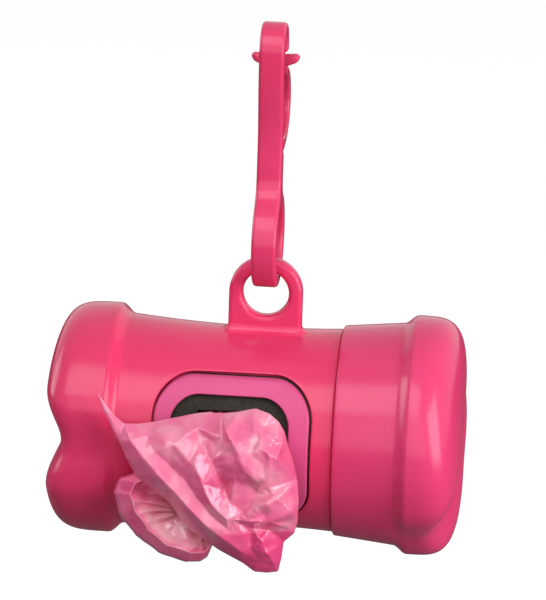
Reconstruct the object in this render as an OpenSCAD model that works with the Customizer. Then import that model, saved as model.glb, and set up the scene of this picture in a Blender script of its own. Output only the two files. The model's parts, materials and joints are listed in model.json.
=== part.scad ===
// Bone-shaped dispenser for pet waste bags, hanging from its snap hook.
// Millimetres. X runs along the casing towards the cap, Z is up and the window faces -Y.
// The origin is the centre of the bend inside the hook's crown.

/* [Casing tube] */
// How much longer the roll is than the visible tube, which runs from the bone end to the cap
roll_past = 14.5; // [12:0.5:18]
// Wall of the tube at its waist, over the bore
tube_wall = 1.8; // [1.4:0.1:3]
// Growth of the tube's radius from its waist to the bone end
left_flare = 1.3; // [0.4:0.1:2.5]
// Growth of the tube's radius from its waist to the cap
right_flare = 0.5; // [0:0.1:1.2]
// Radius of the bore that holds the roll
bore_r = 18.2; // [16:0.1:18.4]
// Length of the neck under the cap's skirt
neck_len = 12.0; // [9:0.5:15]
// Wall of the neck under the cap's skirt
neck_wall = 1.4; // [1:0.1:1.6]
// Height of the snap bead round the neck
bead_h = 0.2; // [0.1:0.05:0.25]

// Distance from the middle of the lug back to the middle of the tube
tube_back = 5.55; // [3:0.05:8]
// Place of the waist along the tube, as a share of its length from the bone end
waist_share = 0.63; // [0.4:0.01:0.8]
// Depth of the bore past the tube into the bone end
bore_extra = 1.5; // [0:0.1:2.5]
// Step in from the bore to the hollow of the bone end
hollow_step = 3.7; // [3:0.1:6]

/* [Bone ends] */
// Length of the moulded bone end, from the tube to its tips
bone_len = 15.4; // [12:0.1:20]
// How far the lobes of the moulded bone end stand out over the tube's end
bone_rise = 2.0; // [1:0.1:6]
// Length of the flare between a tube and its lobes
flare_len = 3.0; // [2:0.1:4]
// Depth of the groove across a bone end
groove_depth = 3.4; // [1:0.1:4]
// Half width of the groove across a bone end
groove_half = 10.5; // [7:0.5:13]
// Wall behind the flat of a bone end
end_wall = 3.0; // [2:0.1:4]
// Roundness of the moulded bone end's outline across its lobes
bone_power = 4.2; // [2:0.1:5]
// Roundness of the bone end's outline along its groove
groove_power = 6.3; // [3:0.1:8]

/* [Cap] */
// Length of the cap's skirt
skirt_len = 12.0; // [9:0.5:16]
// Wall of the cap's skirt at its rim
skirt_wall = 1.25; // [1:0.05:2]
// Growth of the skirt's radius from its rim to the bone end
skirt_flare = 1.2; // [0.4:0.1:1.4]
// Length of the cap's bone end, from the skirt to its tips
knob_len = 13.7; // [12:0.1:20]
// How far the lobes of the cap's bone end stand out over its skirt
knob_rise = 1.7; // [0.6:0.1:5]
// Roundness of the cap's bone end across its lobes
knob_power = 2.6; // [2:0.1:5]
// Roundness of the cap's bone end along its groove
knob_groove_power = 4.2; // [2:0.1:8]
// How far the cap sits turned from the moulded bone end
cap_turn = 48; // [-90:1:90]
// Radial clearance between the neck and the skirt
cap_fit = 0.35; // [0.3:0.05:0.5]

/* [Lug] */
// Radius of the hole in the lug
lug_hole_r = 4.6; // [3.8:0.1:5.2]
// Radial width of the lug round its hole
lug_rim = 2.8; // [2:0.1:4]
// Thickness of the lug
lug_t = 3.2; // [2.4:0.1:4]
// Rounding of the lug's edges
lug_edge = 1.0; // [0.4:0.1:1.1]
// Height of the hole's centre over the waist of the tube
lug_rise = 8.0; // [7:0.1:11]

/* [Window] */
// Distance from the middle of the lug back to the middle of the window
window_back = 4.3; // [2:0.1:6]
// Half length of the bezel along the tube
bezel_half_x = 15.3; // [13:0.1:17]
// Half height of the bezel
bezel_half_z = 14.4; // [12:0.1:14.8]
// Width of the bezel's band
bezel_band = 4.0; // [3:0.1:5]
// Corner radius of the bezel's outline
bezel_corner = 7.4; // [5.5:0.1:9]
// Thickness of the bezel
bezel_t = 1.25; // [1:0.05:1.6]
// Gap between the bezel and the recess in the casing
bezel_gap = 0.6; // [0.3:0.05:0.9]
// Thickness of the rubber membrane
membrane_t = 0.7; // [0.5:0.05:0.9]
// Casing wall left behind the membrane
ledge_t = 0.8; // [0.6:0.05:1]
// Length of the slit in the membrane
slit_len = 12.0; // [8:0.5:16]
// Width of the slit where the film passes
slit_w = 1.3; // [1.2:0.1:2]
// Radius of the round hole at each end of the slit
slit_end_r = 0.9; // [0.7:0.05:1.2]
// Radius of the bezel's four pins
pin_r = 0.8; // [0.6:0.05:0.9]

/* [Bag roll] */
// Outer radius of the roll
roll_r = 12.5; // [9:0.1:13.5]
// Length of the roll
roll_len = 57.0; // [40:0.5:58]
// Outer radius of the card core
core_r = 7.0; // [5:0.1:8]
// Wall of the card core
core_wall = 0.8; // [0.5:0.1:1.2]
// Gap between loose pieces and what they lie on
loose_gap = 0.3; // [0.2:0.05:0.4]
// Thickness of the pleated film where it passes the slit
film_t = 0.5; // [0.4:0.05:0.6]
// Width of the pleated film where it passes the slit
film_w = 10.0; // [6:0.5:10.5]

/* [Snap hook] */
// Thickness of the hook from side to side
hook_w = 5.0; // [4:0.1:6]
// Depth of the hook's bar section
bar_t = 2.5; // [2.2:0.1:3]
// Inner radius of the ring that carries the lug
ring_r = 7.1; // [6.5:0.1:8.5]
// Inner radius of the crown's bend
crown_r = 2.9; // [2.6:0.1:3.6]
// Height of the crown's centre over the middle of the lug's hole
crown_rise = 49.5; // [48:0.1:56]
// Height of the waist between the ring and the upper loop
waist_rise = 30.0; // [27:0.1:32]
// Rounding of the ring's edges
bar_edge = 0.9; // [0.5:0.1:1]
// Thickness of the gate's leaf
gate_t = 1.8; // [1.4:0.1:2]
// How far the gate bows out behind the crown's centre
gate_bow = 13.8; // [9:0.1:15]
// Width of the bar across the gate's tip
tee_w = 9.6; // [8:0.1:12]
// Thickness of the bar across the gate's tip
tee_t = 2.2; // [1.8:0.1:2.4]
// Running clearance round the gate's root
root_fit = 0.1; // [0.05:0.01:0.1]

/* [Hidden] */
fine = 96;
bone_steps = 72;
profile_steps = 14;
tube_steps = 16;
curve_steps = 18;
seat = 0.05;
skin = 0.5;
proud = 0.08;
sink_share = 0.9;
over = 1;
flare_share = 0.25;
end_gap = 0.8;
ledge_in = 1;
pin_share = 0.35;
bead_back = 2.5;
bead_half = 0.6;
lead_in = 0.5;
stem_sink = 1.2;

// The lug's hole lies straight under the crown, and the casing's axis under the hole.
hole_z = -crown_rise;
waist_r = bore_r + tube_wall;
axis_z = hole_z - lug_rise - waist_r;
tube_len = roll_len - roll_past;
rim_x = tube_len / 2 - tube_back;
left_x = rim_x - tube_len;
waist_x = left_x + waist_share * tube_len;
neck_r = bore_r + neck_wall;
cap_bore_r = neck_r + cap_fit;
skirt_rim_r = cap_bore_r + skirt_wall;
skirt_end_x = rim_x + skirt_len;
knob_base_r = skirt_rim_r + skirt_flare;
knob_r = knob_base_r + knob_rise;
bone_r = waist_r + left_flare + bone_rise;
cap_floor_x = skirt_end_x + knob_len - groove_depth - end_wall;
casing_floor_x = left_x - bore_extra;
casing_end_x = left_x - bone_len + groove_depth + end_wall;
casing_end_r = bore_r - hollow_step;

window_x = -window_back;
recess_r = bore_r + ledge_t;
membrane_r = recess_r + seat;
bezel_r = membrane_r + membrane_t + seat;
roll_x = casing_floor_x + roll_len / 2 + end_gap;
roll_z = axis_z - (bore_r - roll_r - loose_gap);
slit_z = roll_z + roll_r + loose_gap + film_t / 2;

// The ring's rounded corners keep the loose gap from the lug's round hole.
bar_top_rise = bar_edge + sqrt(pow(lug_hole_r - loose_gap - bar_edge, 2)
    - pow(hook_w / 2 - bar_edge, 2));
ring_z = hole_z + bar_top_rise + ring_r;
waist_z = hole_z + waist_rise;
crown_mid_r = crown_r + bar_t / 2;
root_r = gate_t / 2 + skin;
root_y = 1.8;
waist_front = -2.6;
bow_back = 1;
bow_low = 8;
bow_high = 9;
foot_front = 6;
foot_back = 4;
foot_steps = 8;
nose_drop = 1.3;
nose_edge = 0.6;
// The gate's tip closes up against the end of the nose, and swings in past it.
tee_edge = 0.8;
tee_h = 0.2;
tip_gap = 0.45;
tee_y = crown_mid_r;
tee_z = -nose_drop - tip_gap - tee_h - tee_t / 2;
// Pulls of the gate's curve, as [y, z] past its bow and its two ends.
gate_low = [1.4, -0.4];
gate_high = [3.2, -4.6];
gate_tip = [0.3, -2.0];

// Radius of the waisted tube at x.
function tube_r(x) = x < waist_x
    ? waist_r + left_flare * pow((waist_x - x) / (waist_x - left_x), 2)
    : waist_r + right_flare * pow((x - waist_x) / (rim_x - waist_x), 2);

// A bone end's profile: a cosine flare, then a superellipse quarter to the tip.
// It gives [axial distance, radius] for a step that runs from 0 to 1.
function profile(step, base_r, peak_r, len, power) = step < flare_share
    ? [flare_len * step / flare_share,
       base_r + (peak_r - base_r) * (1 - cos(180 * step / flare_share)) / 2]
    : let (turn = 90 * (step - flare_share) / (1 - flare_share))
      [flare_len + (len - flare_len) * pow(sin(turn), 2 / power),
       peak_r * pow(max(cos(turn), 0), 2 / power)];

// Share of the lobe at a lateral distance from the middle of the groove.
function lobe_share(dist) = pow(sin(90 * min(abs(dist) / groove_half, 1)), 2);

// A point of a bone end, blended between the groove's profile and the lobe's. The end is
// boxier along the groove than across it.
function bone_point(step, turn, base_r, peak_r, len, power, along) =
    let (round = power + (along - power) * pow(cos(turn), 2))
    let (lobe = profile(step, base_r, peak_r, len, round))
    let (low = profile(step, base_r, base_r, len - groove_depth, round))
    let (share = lobe_share(lobe[1] * sin(turn)))
    let (mix = low + (lobe - low) * share)
    [mix[0], -mix[1] * cos(turn), mix[1] * sin(turn)];

// A bone end that grows towards +X, its base a hair proud of its tube and sunk into it.
module bone_end(base_r, peak_r, len, power, along) {
    rings = [for (i = [0 : profile_steps - 1]) [for (j = [0 : bone_steps - 1])
        bone_point(i / profile_steps, 360 * j / bone_steps, base_r + proud, peak_r, len,
            power, along)]];
    sunk = [for (p = rings[0]) [-skin, p[1] * sink_share, p[2] * sink_share]];
    points = concat(sunk, [for (ring = rings) each ring],
        [[-skin, 0, 0], [len - groove_depth, 0, 0]]);
    count = profile_steps + 1;
    back = count * bone_steps;
    sides = [for (i = [0 : count - 2]) for (j = [0 : bone_steps - 1])
        let (a = i * bone_steps + j)
        let (b = i * bone_steps + (j + 1) % bone_steps)
        each [[a, b, b + bone_steps], [a, b + bone_steps, a + bone_steps]]];
    ends = [for (j = [0 : bone_steps - 1])
        let (k = (j + 1) % bone_steps)
        let (top = (count - 1) * bone_steps)
        each [[back, k, j], [back + 1, top + j, top + k]]];
    polyhedron(points, concat(sides, ends));
}

// A cylinder along X from x0 to x1 round the casing's axis.
module along_x(r, x0, x1) {
    translate([x0, 0, axis_z])
        rotate([0, 90, 0]) cylinder(r = r, h = x1 - x0, $fn = fine);
}

// A shape turned round the casing's axis, from points [x, radius].
module turned_x(points) {
    translate([0, 0, axis_z]) rotate([0, 90, 0])
        rotate_extrude($fn = fine) polygon([for (p = points) [p[1], p[0]]]);
}

// A rectangle with round corners, drawn without any hull.
module round_rect(half_x, half_y, r) {
    square([2 * half_x, 2 * (half_y - r)], center = true);
    square([2 * (half_x - r), 2 * half_y], center = true);
    for (i = [-1, 1]) for (j = [-1, 1])
        translate([i * (half_x - r), j * (half_y - r)]) circle(r, $fn = fine);
}

// A prism from the casing's axis plane out through the front of the window.
module window_prism(half_x, half_z, r) {
    translate([window_x, 0, axis_z]) rotate([90, 0, 0])
        linear_extrude(bone_r + 4) round_rect(half_x, half_z, r);
}

// The places of the bezel's pins, as [x, z].
function pin_places() = [for (i = [-1, 1]) for (j = [-1, 1])
    [window_x + i * (bezel_half_x - bezel_band / 2), axis_z + j * bezel_half_z * pin_share]];

module pins(r) {
    for (p = pin_places())
        translate([p[0], 0, p[1]]) rotate([90, 0, 0])
            cylinder(r = r, h = bezel_r + bezel_t / 2, $fn = 24);
}

// A ring with rounded edges, turned about Z from an inner radius r.
module rounded_ring(r, t, w, edge) {
    rotate_extrude($fn = fine) translate([r + t / 2, 0]) round_rect(t / 2, w / 2, edge);
}

// The lug: a plate with a rounded rim round its hole, and a stem down to the tube.
module lug() {
    outer = lug_hole_r + lug_rim;
    half = lug_t / 2;
    translate([0, 0, hole_z]) rotate([90, 0, 0])
        rounded_ring(lug_hole_r, lug_rim, lug_t, lug_edge);
    difference() {
        translate([0, 0, axis_z + waist_r - stem_sink])
            linear_extrude(lug_rise + stem_sink) round_rect(outer, half, lug_edge);
        translate([0, lug_t, hole_z]) rotate([90, 0, 0])
            cylinder(r = lug_hole_r + lug_rim / 2, h = 2 * lug_t, $fn = fine);
    }
}

module casing() color([0.91, 0.25, 0.45]) {
    neck_x = rim_x + neck_len;
    outline = concat([[left_x, 0]],
        [for (i = [0 : tube_steps]) let (x = left_x + tube_len * i / tube_steps) [x, tube_r(x)]],
        [[rim_x, neck_r], [neck_x - lead_in, neck_r], [neck_x, neck_r - lead_in], [neck_x, 0]]);
    difference() {
        union() {
            turned_x(outline);
            translate([left_x, 0, axis_z]) mirror([1, 0, 0])
                bone_end(tube_r(left_x), bone_r, bone_len, bone_power, groove_power);
            lug();
            bead_x = neck_x - bead_back;
            turned_x([[bead_x - bead_half, neck_r - skin], [bead_x - bead_half, neck_r],
                [bead_x, neck_r + bead_h], [bead_x + bead_half, neck_r],
                [bead_x + bead_half, neck_r - skin]]);
        }
        along_x(bore_r, casing_floor_x, neck_x + over);
        along_x(casing_end_r, casing_end_x, casing_floor_x + over);
        difference() {
            window_prism(bezel_half_x + bezel_gap, bezel_half_z + bezel_gap,
                bezel_corner + bezel_gap);
            along_x(recess_r, left_x, rim_x);
        }
        window_prism(bezel_half_x - bezel_band + ledge_in, bezel_half_z - bezel_band + ledge_in,
            bezel_corner - ledge_in);
        pins(pin_r + seat);
    }
}

module cap() color([0.91, 0.24, 0.46]) {
    difference() {
        union() {
            turned_x([[rim_x + seat, 0], [rim_x + seat, skirt_rim_r],
                [skirt_end_x, knob_base_r], [skirt_end_x, 0]]);
            translate([skirt_end_x, 0, axis_z]) rotate([cap_turn, 0, 0])
                bone_end(knob_base_r, knob_r, knob_len, knob_power, knob_groove_power);
        }
        along_x(cap_bore_r, rim_x - over, rim_x + neck_len + loose_gap);
        along_x(bore_r, rim_x, cap_floor_x);
    }
}

// A curved plate on the front of the casing, cut to a rounded outline.
module window_plate(r, t, half_x, half_z, corner) {
    intersection() {
        difference() {
            along_x(r + t, left_x, rim_x);
            along_x(r, left_x - over, rim_x + over);
        }
        window_prism(half_x, half_z, corner);
    }
}

module window_bezel() color([0.90, 0.33, 0.56]) {
    difference() {
        window_plate(bezel_r, bezel_t, bezel_half_x, bezel_half_z, bezel_corner);
        window_prism(bezel_half_x - bezel_band, bezel_half_z - bezel_band,
            bezel_corner - bezel_band / 2);
    }
    difference() {
        pins(pin_r);
        along_x(bore_r + seat, left_x, rim_x);
    }
}

module slit_membrane() color([0.16, 0.17, 0.15]) {
    lap = bezel_gap * 2 / 3;
    difference() {
        window_plate(membrane_r, membrane_t, bezel_half_x + lap, bezel_half_z + lap,
            bezel_corner + lap);
        translate([window_x, 0, slit_z]) rotate([90, 0, 0]) linear_extrude(bone_r) {
            square([slit_len, slit_w], center = true);
            for (i = [-1, 1]) translate([i * slit_len / 2, 0]) circle(slit_end_r, $fn = 32);
        }
        pins(pin_r + seat);
    }
}

module roll_core() color([0.72, 0.60, 0.46]) {
    translate([roll_x - roll_len / 2, 0, roll_z]) rotate([0, 90, 0]) difference() {
        cylinder(r = core_r, h = roll_len, $fn = fine);
        translate([0, 0, -over])
            cylinder(r = core_r - core_wall, h = roll_len + 2 * over, $fn = fine);
    }
}

module bag_roll() color([0.93, 0.45, 0.62]) {
    translate([roll_x - roll_len / 2 + over, 0, roll_z]) rotate([0, 90, 0]) difference() {
        cylinder(r = roll_r, h = roll_len - 2 * over, $fn = fine);
        translate([0, 0, -over]) cylinder(r = core_r, h = roll_len, $fn = fine);
    }
}

// The pulled-out bag's rim, seen from the front, round a bulging middle.
// Each point is [x, height over the middle of the casing, distance out from the bezel].
bag_rim = [[-29, 9, 4], [-24, 5.5, 4.5], [-16, 7.5, 3.5], [-9, 9, 2.5], [-4, 8.5, 3],
    [1, 10.5, 4], [5, 9.5, 4.5], [8, 7, 4], [10, 1, 5], [11, -7, 5.5], [11, -13, 5],
    [9, -17, 4.5], [8.5, -21.5, 5], [4, -22.5, 4.5], [-3, -20, 4], [-8, -19, 3.5],
    [-11, -22, 5], [-17, -19.5, 6], [-22.5, -14.5, 6.5], [-25, -8.5, 6], [-21.5, -4, 5],
    [-25.5, 1.5, 5.5]];
bag_mid = [-5, -6];
bag_share = 0.62;
bag_out = [10.5, 11];
bag_in = [1.4, 1.1];
bag_swell = [0.9, 0.8];
bag_drop = 7.65;
bag_z = slit_z - bag_drop;
bag_face = bezel_r + bezel_t;
tail_out = 3.2;

// A ring of the bag between its rim and its middle, at a distance out from the bezel.
function bag_ring(out, swell) = [for (p = bag_rim)
    [bag_mid[0] + (p[0] - bag_mid[0]) * bag_share,
     -bag_face - out - (p[2] - out) * pow(bag_share, 2) * swell,
     bag_z + bag_mid[1] + (p[1] - bag_mid[1]) * bag_share]];

module bag_lump() {
    n = len(bag_rim);
    rim = [for (p = bag_rim) [p[0], -bag_face - p[2], bag_z + p[1]]];
    front = bag_ring(bag_out[0], bag_swell[0]);
    rear = bag_ring(bag_in[0], bag_swell[1]);
    points = concat(front, rim, rear,
        [[bag_mid[0], -bag_face - bag_out[1], bag_z + bag_mid[1]],
         [bag_mid[0], -bag_face - bag_in[1], bag_z + bag_mid[1]]]);
    polyhedron(points, [for (i = [0 : n - 1])
        let (k = (i + 1) % n)
        each [[3 * n, i, k], [i, i + n, k + n], [i, k + n, k],
            [i + n, i + 2 * n, k + 2 * n], [i + n, k + 2 * n, k + n],
            [3 * n + 1, k + 2 * n, i + 2 * n]]]);
}

module leading_bag() color([0.93, 0.50, 0.66]) {
    tail_len = bag_face + tail_out;
    bag_lump();
    translate([window_x - film_w / 2, -tail_len, slit_z - film_t / 2])
        cube([film_w, tail_len, film_t]);
}

// Points beside a path of [y, z] points, at a distance d to its left.
function beside(path, d) = [for (i = [0 : len(path) - 1])
    let (run = path[min(i + 1, len(path) - 1)] - path[max(i - 1, 0)])
    path[i] + d * [-run[1], run[0]] / norm(run)];

// A bar of even thickness that follows a path of [y, z] points in the hook's plane.
module bar_along(path, t, w) {
    right = beside(path, -t / 2);
    translate([-w / 2, 0, 0]) rotate([90, 0, 90]) linear_extrude(w)
        polygon(concat(beside(path, t / 2), [for (i = [len(path) - 1 : -1 : 0]) right[i]]));
}

// Points on a cubic curve that leaves a towards b and reaches d from c.
function bezier(a, b, c, d, steps) = [for (i = [0 : steps])
    let (t = i / steps)
    let (u = 1 - t)
    u * u * u * a + 3 * u * u * t * b + 3 * u * t * t * c + t * t * t * d];

// The web in the corner between the ring and one side of the waist at y, with a
// hollow arc of radius r that starts and ends a hair inside both.
module ring_foot(y, r) {
    side = sign(y);
    reach = ring_r + bar_t - seat;
    away = abs(y) - seat + r;
    rise = sqrt(pow(reach + r, 2) - pow(away, 2));
    start = atan2(rise, away);
    mid = ring_r + bar_t / 2 + 3 * seat;
    band = [for (i = [0 : foot_steps]) let (turn = 90 + (start - 90) * i / foot_steps)
        mid * [side * cos(turn), sin(turn)]];
    arc = [for (i = [0 : foot_steps]) let (turn = start * (1 - i / foot_steps))
        [side * (away - r * cos(turn)), rise - r * sin(turn)]];
    translate([-hook_w / 2, 0, ring_z]) rotate([90, 0, 90]) linear_extrude(hook_w)
        polygon(concat(band, arc, [[0, rise]]));
}

// The bars are a hair thinner than the crown's ring, which they run up into.
module clip_hook() color([0.90, 0.24, 0.42]) {
    crown_out = crown_r + bar_t + over;
    thin = bar_t - 2 * seat;
    difference() {
        union() {
            translate([0, 0, ring_z]) rotate([0, 90, 0])
                rounded_ring(ring_r, bar_t, hook_w, bar_edge);
            difference() {
                translate([-hook_w / 2, waist_front, ring_z])
                    cube([hook_w, root_y - waist_front, waist_z - ring_z]);
                translate([-hook_w, 0, ring_z]) rotate([0, 90, 0])
                    cylinder(r = ring_r + bar_t / 2, h = 2 * hook_w, $fn = fine);
            }
            ring_foot(waist_front, foot_front);
            ring_foot(root_y, foot_back);
            bar_along(concat(bezier([waist_front + bar_t / 2, waist_z - bow_back],
                [waist_front + bar_t / 2, waist_z + bow_low], [-crown_mid_r, waist_z + bow_high],
                [-crown_mid_r, 0], curve_steps), [[-crown_mid_r, skin]]), thin, hook_w);
            translate([-hook_w / 2, 0, 0]) rotate([0, 90, 0]) difference() {
                cylinder(r = crown_r + bar_t, h = hook_w, $fn = fine);
                translate([0, 0, -over])
                    cylinder(r = crown_r, h = hook_w + 2 * over, $fn = fine);
                translate([0, -crown_out, -over])
                    cube([crown_out, 2 * crown_out, hook_w + 2 * over]);
            }
            translate([-hook_w / 2, crown_mid_r, (skin - nose_drop) / 2])
                rotate([90, 0, 90]) linear_extrude(hook_w)
                    round_rect(thin / 2, (skin + nose_drop) / 2, nose_edge);
        }
        translate([-hook_w, root_y, waist_z]) rotate([0, 90, 0])
            cylinder(r = root_r + root_fit, h = 2 * hook_w, $fn = fine);
    }
}

module clip_gate() color([0.88, 0.25, 0.43]) {
    translate([-hook_w / 2, root_y, waist_z]) rotate([0, 90, 0])
        cylinder(r = root_r, h = hook_w, $fn = fine);
    bar_along(concat(bezier([root_y, waist_z], [gate_bow, waist_z] + gate_low,
        [gate_bow, tee_z] + gate_high, [tee_y, tee_z] + gate_tip, curve_steps),
        [[tee_y, tee_z]]), gate_t, hook_w);
    translate([-tee_w / 2, tee_y, tee_z]) rotate([90, 0, 90]) linear_extrude(tee_w)
        round_rect(tee_t / 2, tee_t / 2 + tee_h, tee_edge);
}

casing();
cap();
window_bezel();
slit_membrane();
roll_core();
bag_roll();
leading_bag();
clip_hook();
clip_gate();
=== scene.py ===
import json
import math

import bmesh
import bpy
import numpy as np
from mathutils import Matrix, Vector, geometry


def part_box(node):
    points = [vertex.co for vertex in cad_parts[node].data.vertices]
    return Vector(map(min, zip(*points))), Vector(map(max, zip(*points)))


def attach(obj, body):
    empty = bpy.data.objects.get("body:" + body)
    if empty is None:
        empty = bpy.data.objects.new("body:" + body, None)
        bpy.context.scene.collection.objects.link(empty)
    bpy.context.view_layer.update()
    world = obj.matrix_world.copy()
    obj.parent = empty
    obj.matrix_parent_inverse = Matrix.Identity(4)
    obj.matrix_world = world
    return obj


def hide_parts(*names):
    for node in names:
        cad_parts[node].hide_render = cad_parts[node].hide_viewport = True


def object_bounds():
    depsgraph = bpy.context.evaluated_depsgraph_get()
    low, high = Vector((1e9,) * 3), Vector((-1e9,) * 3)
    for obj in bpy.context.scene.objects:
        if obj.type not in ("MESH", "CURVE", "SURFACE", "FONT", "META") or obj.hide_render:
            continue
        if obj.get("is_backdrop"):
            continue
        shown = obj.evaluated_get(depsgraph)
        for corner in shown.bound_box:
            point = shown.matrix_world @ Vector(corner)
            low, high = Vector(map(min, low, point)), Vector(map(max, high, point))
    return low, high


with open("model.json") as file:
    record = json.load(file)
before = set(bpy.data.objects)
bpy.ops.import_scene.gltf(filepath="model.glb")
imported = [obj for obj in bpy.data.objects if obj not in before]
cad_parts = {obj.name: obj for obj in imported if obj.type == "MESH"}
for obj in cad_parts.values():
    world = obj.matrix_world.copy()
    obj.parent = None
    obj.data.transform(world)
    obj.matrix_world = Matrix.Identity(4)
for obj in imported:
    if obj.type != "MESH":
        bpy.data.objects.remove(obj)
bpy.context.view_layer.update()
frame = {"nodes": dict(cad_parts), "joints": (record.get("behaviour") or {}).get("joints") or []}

# The stage: a plain pale floor under soft studio lights, with the photograph's camera.
# The object hangs free by its hook, so the floor lies well below it and only takes its shadow.
MM = 0.001
joints = {joint["name"]: joint for joint in frame["joints"]}
hole = np.array(joints["case_swing"]["pos_m"])
azimuth, elevation, roll = np.radians([5.1, 15.5, 1.9])
camera_range = 0.7
floor_z = -0.20

right = np.array([math.cos(azimuth), math.sin(azimuth), 0])
back = np.array([math.sin(azimuth) * math.cos(elevation),
                 -math.cos(azimuth) * math.cos(elevation), math.sin(elevation)])
above = np.cross(back, right)
across = right * math.cos(roll) + above * math.sin(roll)
upward = above * math.cos(roll) - right * math.sin(roll)
camera_data = bpy.data.cameras.new("studio_camera")
camera_data.lens = 210
camera_data.sensor_width = 36
camera_data.shift_x = 0.01133
camera_data.shift_y = -0.01333
camera = bpy.data.objects.new("studio_camera", camera_data)
place = np.eye(4)
place[:3, 0], place[:3, 1], place[:3, 2] = across, upward, back
place[:3, 3] = hole + camera_range * back
camera.matrix_world = Matrix(place.tolist())
bpy.context.scene.collection.objects.link(camera)
bpy.context.scene.camera = camera
bpy.context.scene.view_settings.view_transform = "Standard"


def soft_light(name, spot, width, height, watts):
    """An area light at spot, in metres, that faces the middle of the casing."""
    data = bpy.data.lights.new(name, "AREA")
    data.shape = "RECTANGLE"
    data.size, data.size_y, data.energy = width, height, watts
    lamp = bpy.data.objects.new(name, data)
    lamp.location = spot
    aim = Vector((0, 0, -0.07)) - Vector(spot)
    lamp.rotation_mode = "QUATERNION"
    lamp.rotation_quaternion = aim.to_track_quat("-Z", "Y")
    bpy.context.scene.collection.objects.link(lamp)


def set_values(node, values):
    """Plain values for a node's sockets, by the sockets' names."""
    for name, value in values.items():
        node.inputs[name].default_value = value


def add_node(tree, kind, values=None, **settings):
    """A shader node of one kind, with its settings and the plain values of its sockets."""
    node = tree.nodes.new("ShaderNode" + kind)
    for name, setting in settings.items():
        setattr(node, name, setting)
    set_values(node, values or {})
    return node


soft_light("top_softbox", (-0.10, -0.50, 0.54), 0.60, 0.45, 3.0)
soft_light("left_softbox", (-0.78, 0.14, 0.18), 0.42, 0.46, 2.2)
soft_light("right_softbox", (0.80, -0.42, 0.16), 0.64, 0.70, 8.0)
soft_light("front_fill", (0.05, -1.10, 0.20), 0.90, 0.70, 2.4)

# The world is white to the camera and to reflected and transmitted rays, and a dim fill light
# to all others.
world = bpy.data.worlds.new("studio_world")
bpy.context.scene.world = world
world.use_nodes = True
sky = world.node_tree
seen = add_node(sky, "LightPath")
either = add_node(sky, "Math", operation="MAXIMUM")
any_seen = add_node(sky, "Math", operation="MAXIMUM")
level = add_node(sky, "MapRange", {"To Min": 0.06, "To Max": 1.0})
sky.nodes["Background"].inputs["Color"].default_value = (1, 1, 1, 1)
sky.links.new(seen.outputs["Is Camera Ray"], either.inputs[0])
sky.links.new(seen.outputs["Is Glossy Ray"], either.inputs[1])
sky.links.new(either.outputs[0], any_seen.inputs[0])
sky.links.new(seen.outputs["Is Transmission Ray"], any_seen.inputs[1])
sky.links.new(any_seen.outputs[0], level.inputs["Value"])
sky.links.new(level.outputs[0], sky.nodes["Background"].inputs["Strength"])

# The floor glows for the camera alone, so that it shows nearly white. Its matt grey takes the
# object's shadow and throws little light back up.
floor_mesh = bpy.data.meshes.new("floor")
floor_r, floor_sides = 6, 96
floor_turn = np.linspace(0, 2 * np.pi, floor_sides, endpoint=False)
floor_rim = np.stack([floor_r * np.cos(floor_turn), floor_r * np.sin(floor_turn),
                      np.full(floor_sides, floor_z)], axis=1)
floor_mesh.from_pydata(floor_rim.tolist(), [], [list(range(floor_sides))])
floor = bpy.data.objects.new("floor", floor_mesh)
bpy.context.scene.collection.objects.link(floor)
floor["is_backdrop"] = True
floor_look = bpy.data.materials.new("pale_floor")
floor_look.use_nodes = True
tree = floor_look.node_tree
tree.nodes.clear()
matt = add_node(tree, "BsdfDiffuse", {"Color": (0.22, 0.22, 0.22, 1)})
glow = add_node(tree, "Emission", {"Color": (1, 1, 1, 1)})
seen = add_node(tree, "LightPath")
lift = add_node(tree, "MapRange", {"To Max": 0.95})
both = add_node(tree, "AddShader")
surface = add_node(tree, "OutputMaterial")
tree.links.new(seen.outputs["Is Camera Ray"], lift.inputs["Value"])
tree.links.new(lift.outputs[0], glow.inputs["Strength"])
tree.links.new(matt.outputs[0], both.inputs[0])
tree.links.new(glow.outputs[0], both.inputs[1])
tree.links.new(both.outputs[0], surface.inputs["Surface"])
floor_mesh.materials.append(floor_look)

# The casing: one injection-moulded shell of satin-gloss pink plastic, a waisted tube with
# a two-lobed bone end at the left, a plain neck at the right that the cap pushes on, and a
# window in front whose sunk ledge takes the membrane and the bezel.
axis_z = -77.5
left_x, rim_x, waist_x, neck_x = -26.8, 15.7, -0.025, 27.7
waist_r, left_flare, right_flare = 20.0, 1.3, 0.5
bore_r, neck_r, hollow_r, recess_r = 18.2, 19.6, 14.5, 19.0
floor_x, end_x = -28.3, -35.8
bone_r, bone_len, bone_power, groove_power = 23.3, 15.4, 4.2, 6.3
bead_x, bead_half, bead_h = 25.2, 0.6, 0.2
rim_edge, bore_edge = 0.5, 0.3
turns = 288
window_x, window_half, window_corner = -4.3, (15.7, 14.8), 7.8
hatch_half, hatch_corner = (12.3, 11.4), 6.4
patch_low, patch_high, patch_turn = -23.5, 14.2, 60
patch_rows = 64


def tube_r(x):
    """The tube's radius: the waist's, and a parabola of the way to either end added."""
    to_left = (waist_x - x) / (waist_x - left_x)
    to_right = (x - waist_x) / (rim_x - waist_x)
    return waist_r + np.where(x < waist_x, left_flare * to_left ** 2, right_flare * to_right ** 2)


def bone_profile(step, base, peak, length, power):
    """A cosine rise from the base to the peak, then a quarter of a superellipse to the tip."""
    flare_share, flare = 0.25, 3.0
    rise = np.clip(step / flare_share, 0, 1)
    turn = np.pi / 2 * np.clip((step - flare_share) / (1 - flare_share), 0, 1)
    x = flare * rise + (length - flare) * np.sin(turn) ** (2 / power)
    r = base + (peak - base) * (1 - np.cos(np.pi * rise)) / 2
    return x, np.where(step < flare_share, r, peak * np.clip(np.cos(turn), 0, 1) ** (2 / power))


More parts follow.
